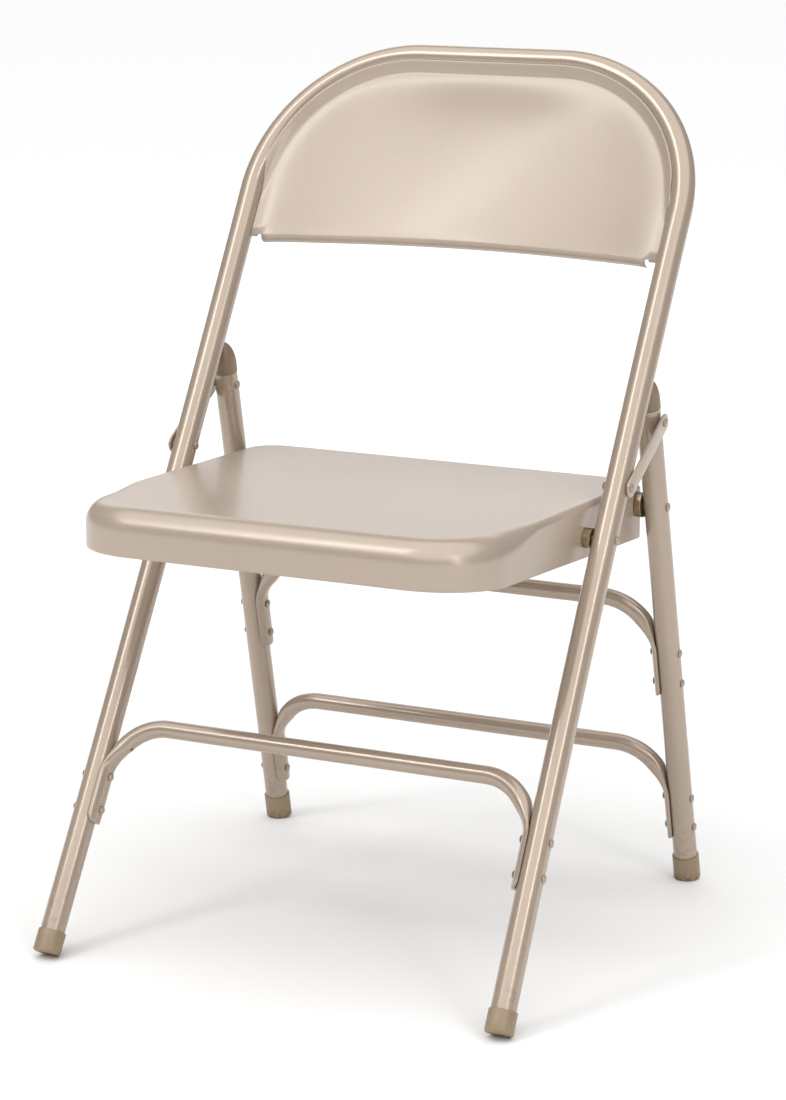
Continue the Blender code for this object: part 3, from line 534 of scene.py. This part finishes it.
# %% [markdown]
# ## The drain hole
#
# The hole is drilled before painting. Here the few faces nearest to it are pulled on to a
# circle and sunk into the tube, which needs no cutting and leaves the shell closed.

# %% The drain hole
DRAIN_RADIUS = 0.0020
DRAIN_DEPTH = 0.0050
DRAIN_TURN = math.radians(52)


def drain(bm, place, half, bar_up):
    """Sink a small round hole in the inner side of the right bend."""
    turn = DRAIN_TURN
    bend = (-(half(bar_up - BRACE_BEND) - TUBE - GAP - PRESSED / 2 - BRACE_BEND),
            bar_up - BRACE_BEND)
    outward = place(-math.sin(turn), math.cos(turn)) - place(0, 0)
    middle = place(*bend) + outward * (BRACE_BEND - BRACE_TUBE)
    near = DRAIN_RADIUS + 0.0001
    hole = [face for face in bm.faces if (face.calc_center_median() - middle).length < near]
    for corner in {v for face in hole for v in face.verts}:
        if all(face in hole for face in corner.link_faces):
            continue
        away = corner.co - middle
        level = away.dot(outward)
        corner.co = middle + outward * level + (away - outward * level).normalized() * DRAIN_RADIUS
    grown = bmesh.ops.extrude_face_region(bm, geom=hole)["geom"]
    bmesh.ops.delete(bm, geom=hole, context="FACES")
    sunk = [item for item in grown if isinstance(item, bmesh.types.BMVert)]
    bmesh.ops.translate(bm, vec=outward * DRAIN_DEPTH, verts=sunk)


# %% [markdown]
# ## The three braces
#
# All three are the same bent tube at another height, so one loop makes them. Each is swept
# from tip to tip, and its drain hole comes last.

# %% The three braces
def brace(node, place, half, bar_up):
    stations = brace_stations(half, bar_up)
    sections = [brace_section(place, -1, *station) for station in reversed(stations)]
    sections += [brace_section(place, 1, *station) for station in stations]
    bm = ring_tube(sections, 40)
    drain(bm, place, half, bar_up)
    return show(bm, node)


BRACES = {"front_brace": (on_front, front_half, 0.2230),
          "rear_upper_brace": (on_rear, rear_half, 0.2932),
          "rear_lower_brace": (on_rear, rear_half, 0.1395)}
for node, (place, half, bar_up) in BRACES.items():
    made = brace(node, place, half, bar_up)
    print(node, len(made.data.polygons), "faces")

# %% [markdown]
# ## The backrest
#
# The backrest is one sheet inside the arch. It starts as a grid whose rows are bent to
# fill the arch. It bows backwards at its lower edge, where that edge is also rolled back
# so that nobody leans on raw steel. Round the arch its edge band turns forward and lies
# on the front of the tube. First come the places that the sheet has to reach.

# %% The sheet in the arch
PANEL_LOW = 0.7070
PANEL_HEM = 0.0080
PANEL_RIM = 0.0080
PANEL_BOW = 0.0200
PANEL_ARCHING = 0.0149
PANEL_TOP = FRAME_TOP - TUBE - GAP - PANEL_RIM
PANEL_FIRST = PANEL_LOW + PANEL_HEM / 2


def opening_half(up):
    """Half the width of the arch's opening, kept an edge band inside the tube."""
    inside = TUBE + GAP + PANEL_RIM
    if up <= ARCH_UP:
        return front_half(up) - inside
    rise = min(up - ARCH_UP, ARCH_RADIUS - inside)
    return ARCH_CENTRE + math.sqrt((ARCH_RADIUS - inside) ** 2 - rise ** 2)


def beside_tube(across, up):
    """The nearest place on the tube's axis, and the way back from it."""
    side = math.copysign(1.0, across)
    if up <= ARCH_UP:
        return (side * front_half(up), up), (-side, 0.0)
    if abs(across) <= ARCH_CENTRE:
        return (across, FRAME_TOP), (0.0, -1.0)
    out = Vector((across - side * ARCH_CENTRE, up - ARCH_UP)).normalized()
    axis = (side * ARCH_CENTRE + out.x * ARCH_RADIUS, ARCH_UP + out.y * ARCH_RADIUS)
    return axis, (-out.x, -out.y)


def rim_place(across, up, share):
    """The edge band: share 0 is its inner line, and 1 its free edge on the tube."""
    axis, back = beside_tube(across, up)
    risen = soft((axis[1] - ARCH_UP + 0.010) / 0.050)
    turn = math.radians(50) * risen
    near = TUBE + GAP
    flat = Vector((near + PANEL_RIM, 0.0))
    level = Vector((near + PANEL_RIM * 0.40, 0.0))
    risen_edge = Vector((near + 0.0022 * risen, 0.0022 * risen))
    end = Vector((near * math.cos(turn), near * math.sin(turn)))
    first, second = flat.lerp(level, share), level.lerp(risen_edge, share)
    third = risen_edge.lerp(end, share)
    inward, forward = first.lerp(second, share).lerp(second.lerp(third, share), share)
    return on_front(axis[0] + back[0] * inward, axis[1] + back[1] * inward, -forward)


# %% [markdown]
# ## Forming the sheet
#
# The grid's rows follow the opening, and the bow eases off towards the tube so that the
# sheet meets its edge band without a crease. The band and the rolled lower edge are then
# grown from the grid's own border, and the sheet gets its thickness last.

# %% The backrest
SHEET = 0.0012
HEM_DROP = 0.0030           # the edge band reaches a little lower beside the hem


def backrest():
    bm = bmesh.new()
    bmesh.ops.create_grid(bm, x_segments=56, y_segments=30, size=1.0)
    plan = bm.verts.layers.float_vector.new("plan")
    lower = [edge for edge in bm.edges if all(v.co.y < -0.999 for v in edge.verts)]
    rest = [edge for edge in bm.edges if edge.is_boundary and edge not in lower]

    def lowered(up):
        return HEM_DROP * max(0.0, 1 - (up - PANEL_FIRST) / 0.010)

    for corner in bm.verts:
        spread = corner.co.x
        share = math.sin(math.radians(90) * (corner.co.y + 1) / 2)
        up = PANEL_FIRST + (PANEL_TOP - PANEL_FIRST) * share
        swell = (1 - spread ** 2) * (1 - share ** 2)
        eased = swell * (1 - spread ** 12) * (1 - share ** 12)
        across = opening_half(up) * spread
        corner[plan] = (across, up + PANEL_ARCHING * swell, PANEL_BOW * eased)
        corner.co = on_front(*corner[plan])
    for share in [step / 10 for step in range(1, 11)]:
        rest = grow(bm, rest, lambda v: rim_place(v[plan].x, v[plan].y - lowered(v[plan].y), share))
    radius = PANEL_HEM / 2
    for step in range(1, 8):
        turn = math.radians(90) * min(step, 6) / 6
        drop = radius * math.sin(turn)
        back = radius * (1 - math.cos(turn)) + (radius if step == 7 else 0.0)
        lower = grow(bm, lower, lambda v: on_front(v[plan].x * 0.985, v[plan].y - drop,
                                                   v[plan].z + back))
    piece = show(bm, "backrest_panel", back_enamel, recalculate=False)
    shell = piece.modifiers.new("sheet", "SOLIDIFY")
    shell.thickness = SHEET
    shell.offset = 1
    shell.use_even_offset = True
    return piece


panel = backrest()
print("backrest", len(panel.data.polygons), "faces")

# %% [markdown]
# ## The seat pan
#
# The seat is stamped from one sheet: a flat top, rolled down into a skirt all round,
# with a large soft roll in front and a tight one at the sides and back. The skirt gets
# deeper towards the back, and its lower edge is turned in. Its rear corners are tight at
# the skirt, where the legs pass, and much rounder on top. Every ring of corners follows
# an outline of its own, so the skirt, the roll and the turned edge all grow from one ring.

# %% The stamped seat
SEAT_FRONT = SEAT_PIVOT.y - 0.232
SEAT_REAR = SEAT_PIVOT.y + 0.140
SEAT_RISE = 0.0305          # the top above the pivot
SEAT_SLOPE = 0.044
SKIRT = 0.0495              # how deep it is at the pivot
SKIRT_SLOPE = 0.033
FRONT_ROLL = 0.021
SIDE_ROLL = 0.0075
FRONT_CORNER = 0.066
REAR_CORNER = 0.012


def seat_top(y):
    return SEAT_PIVOT.z + SEAT_RISE - SEAT_SLOPE * (y - SEAT_PIVOT.y)


def skirt_depth(y):
    return SKIRT + SKIRT_SLOPE * (y - SEAT_PIVOT.y)


def seat_roll(y):
    """Large in front, and tight at the sides and back."""
    return FRONT_ROLL + (SIDE_ROLL - FRONT_ROLL) * soft((y - SEAT_FRONT - FRONT_CORNER) / 0.070)


def seat_outline(rear_corner, corner_steps=20, side_steps=24):
    """Points round the seat, each with the way out from the seat there."""
    points = []
    for side, edge, radius, inward, first in ((1, SEAT_REAR, rear_corner, -1, 0),
                                              (-1, SEAT_REAR, rear_corner, -1, 90),
                                              (-1, SEAT_FRONT, FRONT_CORNER, 1, 180),
                                              (1, SEAT_FRONT, FRONT_CORNER, 1, 270)):
        for step in range(corner_steps + 1):
            turn = math.radians(first + 90 * step / corner_steps)
            out = Vector((math.cos(turn), math.sin(turn), 0))
            centre = Vector((side * (SEAT_HALF - radius), edge + inward * radius, 0))
            points.append((centre + out * radius, out))
        if first in (90, 270):
            low, high = SEAT_FRONT + FRONT_CORNER, SEAT_REAR - rear_corner
            for step in range(1, side_steps):
                share = step / side_steps if first == 270 else 1 - step / side_steps
                points.append((Vector((side * SEAT_HALF, low + (high - low) * share, 0)),
                               Vector((side, 0, 0))))
    return points


# %% [markdown]
# ## Growing the pan
#
# A press would draw the pan from one flat blank. Here it grows from the turned-in edge up
# the skirt, over the roll and on to the flat top, ring by ring, so that no ring is cut.

# %% The pan
HEM_IN = 0.006
HEM_ROLL = 0.0022
REAR_TOP_ROUNDER = 0.022


def seat():
    skirt = seat_outline(REAR_CORNER)
    bm = bmesh.new()
    bmesh.ops.create_circle(bm, cap_ends=False, radius=1.0, segments=len(skirt))
    number = bm.verts.layers.int.new("number")
    for index, corner in enumerate(bm.verts):
        corner[number] = index

    def hem(corner, inset, lift):
        spot, out = skirt[corner[number]]
        place = spot - out * inset
        return Vector((place.x, place.y, seat_top(spot.y) - skirt_depth(spot.y) + lift))

    def rolled(corner, outline, turn):
        spot, out = outline[corner[number]]
        roll = seat_roll(spot.y)
        moved = spot - out * roll * (1 - math.cos(turn))
        return Vector((moved.x, moved.y, seat_top(moved.y) - roll * (1 - math.sin(turn))))

    for corner in bm.verts:
        corner.co = hem(corner, HEM_IN, 0.0)
    ring = bm.edges[:]
    for step in range(7):
        turn = math.radians(90) * step / 6
        ring = grow(bm, ring, lambda v: hem(v, HEM_ROLL * (1 - math.sin(turn)),
                                            HEM_ROLL * (1 - math.cos(turn))))
    for step in range(17):
        turn = math.radians(90) * step / 16
        outline = seat_outline(REAR_CORNER + REAR_TOP_ROUNDER * soft(step / 16))
        ring = grow(bm, ring, lambda v: rolled(v, outline, turn))
    top = bmesh.ops.contextual_create(bm, geom=ring)["faces"]
    bmesh.ops.inset_region(bm, faces=top, thickness=0.002, use_even_offset=True)
    piece = show(bm, "seat_pan")
    shell = piece.modifiers.new("sheet", "SOLIDIFY")
    shell.thickness = SEAT_SHEET
    shell.offset = -1
    shell.use_even_offset = True
    return piece


pan = seat()
print("seat", len(pan.data.polygons), "faces, top", round(seat_top(SEAT_FRONT), 4))

# %% [markdown]
# ## Turned pieces
#
# Feet, caps, rivets and spacers are all round, so each is a profile spun about a line.
# A profile is a short list of radius and height. Full spins merge their seam, and the
# shape is then laid along its own axis.

# %% spin_profile and dome
def spin_profile(profile, sides, start, along):
    bm = bmesh.new()
    corners = [bm.verts.new((radius, 0, height)) for radius, height in profile]
    edges = [bm.edges.new(pair) for pair in zip(corners, corners[1:])]
    bmesh.ops.spin(bm, geom=corners + edges, cent=(0, 0, 0), axis=(0, 0, 1),
                   angle=math.tau, steps=sides, use_merge=True)
    bmesh.ops.remove_doubles(bm, verts=bm.verts, dist=1e-6)
    turn = along.to_track_quat("Z", "Y").to_matrix().to_4x4()
    bmesh.ops.transform(bm, matrix=Matrix.Translation(start) @ turn, verts=bm.verts)
    return bm


def dome(radius, height, base, steps=8):
    """A low domed head, from its rim up to its tip."""
    return [(radius * math.cos(math.radians(90) * step / steps),
             base + height * math.sin(math.radians(90) * step / steps))
            for step in range(steps + 1)]


# %% [markdown]
# ## Feet
#
# A foot is a thick vinyl cup pushed over the tube's end. Its end is square to the leg,
# so the chair stands on the rounded heel of the cup, cut level by a plane at the floor.
# That flat is how a worn cup looks, and it gives the chair something to stand on.

# %% Feet
FOOT_HEIGHT = 0.0260
FOOT_FIT = 0.0002
FOOT_SOLE = 0.0027
AIM_UP = 0.052              # a foot points along the leg from the floor to here


def foot(node, place, half, up_leg):
    radius, edge, bore, height = FOOT_RADIUS, FOOT_EDGE, TUBE + FOOT_FIT, FOOT_HEIGHT
    bottom = foot_bottom(up_leg)
    profile = [(0, bottom)]
    profile += [(radius - edge * (1 - math.sin(math.radians(15 * step))),
                 bottom + edge * (1 - math.cos(math.radians(15 * step)))) for step in range(7)]
    profile += [(radius, height - 0.0006), (radius - 0.0003, height - 0.0001),
                (radius - 0.0007, height), (bore, height), (bore, bottom + FOOT_SOLE),
                (0, bottom + FOOT_SOLE)]
    side = 1 if node.endswith("left") else -1
    low, high = place(side * half(0), 0), place(side * half(AIM_UP), AIM_UP)
    bm = spin_profile(profile, TUBE_SIDES, low, (high - low).normalized())
    level = bmesh.ops.bisect_plane(bm, geom=bm.verts[:] + bm.edges[:] + bm.faces[:],
                                   plane_co=(0, 0, 0), plane_no=(0, 0, -1), clear_outer=True)
    rim = [item for item in level["geom_cut"] if isinstance(item, bmesh.types.BMEdge)]
    bmesh.ops.contextual_create(bm, geom=rim)
    return show(bm, node)


for side_name, side in SIDES:
    foot("front_foot_" + side_name, on_front, front_half, UP_FRONT)
    foot("rear_foot_" + side_name, on_rear, rear_half, UP_REAR)
print("four feet on the floor")

# %% [markdown]
# ## Caps
#
# A cap is a bullet-shaped plug pressed into the top of a rear leg, with a collar as wide as
# the tube. Its stem is inside the tube and its long dome is what shows, so the dome gets
# many steps and the stem few.

# %% Caps
CAP_STEM = TUBE - 0.0014
CAP_STEM_DEEP = 0.0045
for side_name, side in SIDES:
    profile = [(0, -CAP_STEM_DEEP), (CAP_STEM, -CAP_STEM_DEEP), (CAP_STEM, GAP),
               (CAP_RADIUS - 0.0004, GAP), (CAP_RADIUS, 0.0008)]
    profile += dome(CAP_RADIUS, CAP_NOSE, CAP_COLLAR, 20)
    low = on_rear(side * rear_half(LEG_TOP), LEG_TOP)
    under = on_rear(side * rear_half(0), 0)
    show(spin_profile(profile, TUBE_SIDES, low, (low - under).normalized()),
         "rear_leg_cap_" + side_name)
print("two caps")

# %% [markdown]
# ## Rivets
#
# Each rivet has a shank and a domed head at both ends. The ones that only hold a brace are
# thinner than the ones that something turns on. All are painted with the frame, and their
# enamel is close to its own, a little darker and more worn.

# %% Rivets through the tubes
BRACE_SHANK = 0.0024
BRACE_HEAD = 0.0038
PIVOT_SHANK = 0.0030
PIVOT_HEAD = 0.0040


def rivet(node, side, inner, outer, place, shank, head):
    length = outer - inner
    profile = [(r, -h) for r, h in reversed(dome(head, HEAD, 0.0))]
    profile += [(shank, 0.0), (shank, length)] + dome(head, HEAD, length)
    start = Vector((side * inner, place.y, place.z))
    return show(spin_profile(profile, RIVET_SIDES, start, ACROSS * side), node)


for side_name, side in SIDES:
    for node, (place, half, bar_up) in BRACES.items():
        for level, down in RIVETS_DOWN.items():
            up = bar_up - down
            rivet(f"{node}_rivet_{level}_{side_name}", side, half(up) - TUBE - PRESSED - 3 * GAP,
                  half(up) + TUBE + GAP, place(0, up), BRACE_SHANK, BRACE_HEAD)
    rivet("link_front_rivet_" + side_name, side, front_half(LINK_FRONT_UP) - TUBE - GAP,
          LINK_FACE + LINK_SHEET + GAP, LINK_PIVOT, PIVOT_SHANK, PIVOT_HEAD)
    rivet("seat_pivot_rivet_" + side_name, side, SEAT_HALF - SEAT_SHEET - GAP,
          front_half(SEAT_PIVOT_UP) + TUBE + GAP, SEAT_PIVOT, PIVOT_SHANK, PIVOT_HEAD)
    rivet("seat_rear_rivet_" + side_name, side, SEAT_HALF - SEAT_SHEET - GAP,
          rear_half(REAR_PIVOT_UP) + TUBE + GAP, REAR_PIVOT, PIVOT_SHANK, PIVOT_HEAD)
print("rivets through the tubes")

# %% [markdown]
# ## The split rivets and the spacers
#
# The rear rivet of each link is one piece on the real chair. Here it is in two parts,
# because the folding linkage is a closed loop that is opened there: its shank turns with
# the leg and its outer head with the link. A spacer is a turned ring on the seat's rivets
# that keeps the skirt off the tube.

# %% The rear rivets of the links, in two parts, and the spacers
SPACER_BORE = 0.0033
SPACER_EDGE = 0.0005
FRONT_SPACER = 0.0090
REAR_SPACER = 0.0115
LINK_REAR = on_rear(0, LINK_REAR_UP)


def spacer(node, side, radius, place, half):
    bore, inner, outer = SPACER_BORE, SEAT_HALF + GAP, half - TUBE - GAP
    length, edge = outer - inner, SPACER_EDGE
    profile = [(bore, 0), (radius - edge, 0), (radius, edge), (radius, length - edge),
               (radius - edge, length), (bore, length), (bore, 0)]
    start = Vector((side * inner, place.y, place.z))
    return show(spin_profile(profile, 40, start, ACROSS * side), node)


for side_name, side in SIDES:
    inner = rear_half(LINK_REAR_UP) - TUBE - GAP
    length = LINK_FACE - GAP - inner
    profile = [(r, -h) for r, h in reversed(dome(PIVOT_HEAD, HEAD, 0.0))]
    profile += [(PIVOT_SHANK, 0), (PIVOT_SHANK, length), (0, length)]
    show(spin_profile(profile, RIVET_SIDES, Vector((side * inner, LINK_REAR.y, LINK_REAR.z)),
                      ACROSS * side), "link_rear_rivet_" + side_name)
    length = LINK_SHEET + GAP
    profile = [(0, 0), (PIVOT_SHANK, 0), (PIVOT_SHANK, length)] + dome(PIVOT_HEAD, HEAD, length)
    show(spin_profile(profile, RIVET_SIDES, Vector((side * LINK_FACE, LINK_REAR.y, LINK_REAR.z)),
                      ACROSS * side), "link_rear_rivet_head_" + side_name)
    spacer("seat_pivot_spacer_" + side_name, side, FRONT_SPACER, SEAT_PIVOT,
           front_half(SEAT_PIVOT_UP))
    spacer("seat_rear_spacer_" + side_name, side, REAR_SPACER, REAR_PIVOT,
           rear_half(REAR_PIVOT_UP))
print("split rivets and spacers")

# %% [markdown]
# ## The links
#
# A link is a flat strip with round ends, punched for its two rivets, on the outer side of
# the tubes. A disc pulled apart in the middle gives the outline, one extrusion gives the
# thickness, and a small bevel gives the dulled edge of stamped and painted steel.

# %% The side links
LINK_END = 0.008
LINK_EDGE = 0.0005


def link(node, side):
    span = LINK_REAR - LINK_PIVOT
    along, wide = span.normalized(), span.normalized().cross(ACROSS)
    bm = bmesh.new()
    bmesh.ops.create_circle(bm, cap_ends=True, radius=LINK_END, segments=48)
    for corner in bm.verts:
        far = 1.0 if corner.co.x > 1e-7 else 0.0
        flat = along * corner.co.x + wide * corner.co.y
        corner.co = LINK_PIVOT + span * far + flat + ACROSS * (side * LINK_FACE - LINK_PIVOT.x)
    grown = bmesh.ops.extrude_face_region(bm, geom=bm.faces[:])["geom"]
    moved = [item for item in grown if isinstance(item, bmesh.types.BMVert)]
    bmesh.ops.translate(bm, vec=ACROSS * side * LINK_SHEET, verts=moved)
    rims = [edge for edge in bm.edges if edge.is_manifold and edge.calc_face_angle() > 1.2]
    bmesh.ops.bevel(bm, geom=rims, offset=LINK_EDGE, segments=3, profile=0.5, affect="EDGES",
                    material=-1)
    return show(bm, node)


for side_name, side in SIDES:
    link("hinge_link_" + side_name, side)
print("links", round((LINK_REAR - LINK_PIVOT).length, 4), "between pivots")

# %% [markdown]
# ## The floor
#
# The floor is a plain pale sheet, large enough to fill the view behind the chair, like a
# sweep of studio paper. It is matt, so that the chair leaves a soft shadow and no mirror
# image.

# %% The floor
def pale_floor():
    bm = bmesh.new()
    bmesh.ops.create_grid(bm, x_segments=8, y_segments=8, size=30.0)
    mesh = bpy.data.meshes.new("floor")
    bm.to_mesh(mesh)
    bm.free()
    floor = bpy.data.objects.new("floor", mesh)
    bpy.context.scene.collection.objects.link(floor)
    card = Finish("pale_floor")
    card.set(Base_Color=(0.92, 0.92, 0.915, 1.0), Roughness=0.85)
    mesh.materials.append(card.material)


pale_floor()
print("floor laid")

# %% [markdown]
# ## The light
#
# Two tall, narrow soft boxes stand in front to the left and to the right: on round tube
# each one draws a long thin highlight. A wide low one behind gives the seat's top something
# pale to reflect. A very soft sun overhead and a pale world light the floor and the rest
# evenly.

# %% The lights
def soft_box(name, azimuth, elevation, distance, width, tall, power, target=(0, 0, 0.4)):
    """An area light at an angle round the chair, turned to face it."""
    data = bpy.data.lights.new(name, "AREA")
    data.shape = "RECTANGLE"
    data.size = width
    data.size_y = tall
    data.energy = power
    lamp = bpy.data.objects.new(name, data)
    a, e = math.radians(azimuth), math.radians(elevation)
    way = Vector((math.sin(a) * math.cos(e), -math.cos(a) * math.cos(e), math.sin(e)))
    lamp.location = Vector(target) + way * distance
    lamp.rotation_euler = way.to_track_quat("Z", "Y").to_euler()
    lamp.visible_camera = False
    bpy.context.scene.collection.objects.link(lamp)


soft_box("left_box", -35, 47, 6.0, 0.55, 3.00, 50)
soft_box("right_box", 57, 20, 6.0, 0.26, 4.40, 50)
soft_box("back_box", 206, 22, 5.0, 4.2, 2.6, 36)
sky = bpy.data.lights.new("overhead", "SUN")
sky.energy = 2.75
sky.angle = math.radians(100)
overhead = bpy.data.objects.new("overhead", sky)
overhead.rotation_euler = (math.radians(16), math.radians(6), 0)
bpy.context.scene.collection.objects.link(overhead)
world = bpy.data.worlds.new("studio")
world.use_nodes = True
world.node_tree.nodes["Background"].inputs["Color"].default_value = (0.97, 0.98, 1.0, 1.0)
world.node_tree.nodes["Background"].inputs["Strength"].default_value = 0.26
bpy.context.scene.world = world
bpy.context.scene.view_settings.view_transform = "Standard"
print("lights", [light.name for light in bpy.data.lights])

# %% [markdown]
# ## The camera
#
# A long lens from a little above and to one side shows the seat, the back and one link
# with little distortion. Its three axes are built from two angles and a slight roll, so
# that each can be changed alone.

# %% The camera
camera_data = bpy.data.cameras.new("camera")
camera_data.sensor_width = 36.0
camera_data.lens = 104.05
camera = bpy.data.objects.new("camera", camera_data)
azimuth, elevation, roll = math.radians(25.849), math.radians(13.685), math.radians(-0.184)
back = Vector((math.sin(azimuth) * math.cos(elevation), -math.cos(azimuth) * math.cos(elevation),
               math.sin(elevation)))
right = Vector((math.cos(azimuth), math.sin(azimuth), 0))
axes = Matrix((right, back.cross(right), back)).transposed() @ Matrix.Rotation(roll, 3, "Z")
camera.matrix_world = Matrix.Translation((1.2220, -2.5049, 1.0230)) @ axes.to_4x4()
camera_data.clip_end = 100.0
bpy.context.scene.collection.objects.link(camera)
bpy.context.scene.camera = camera
print("camera at", camera.location)
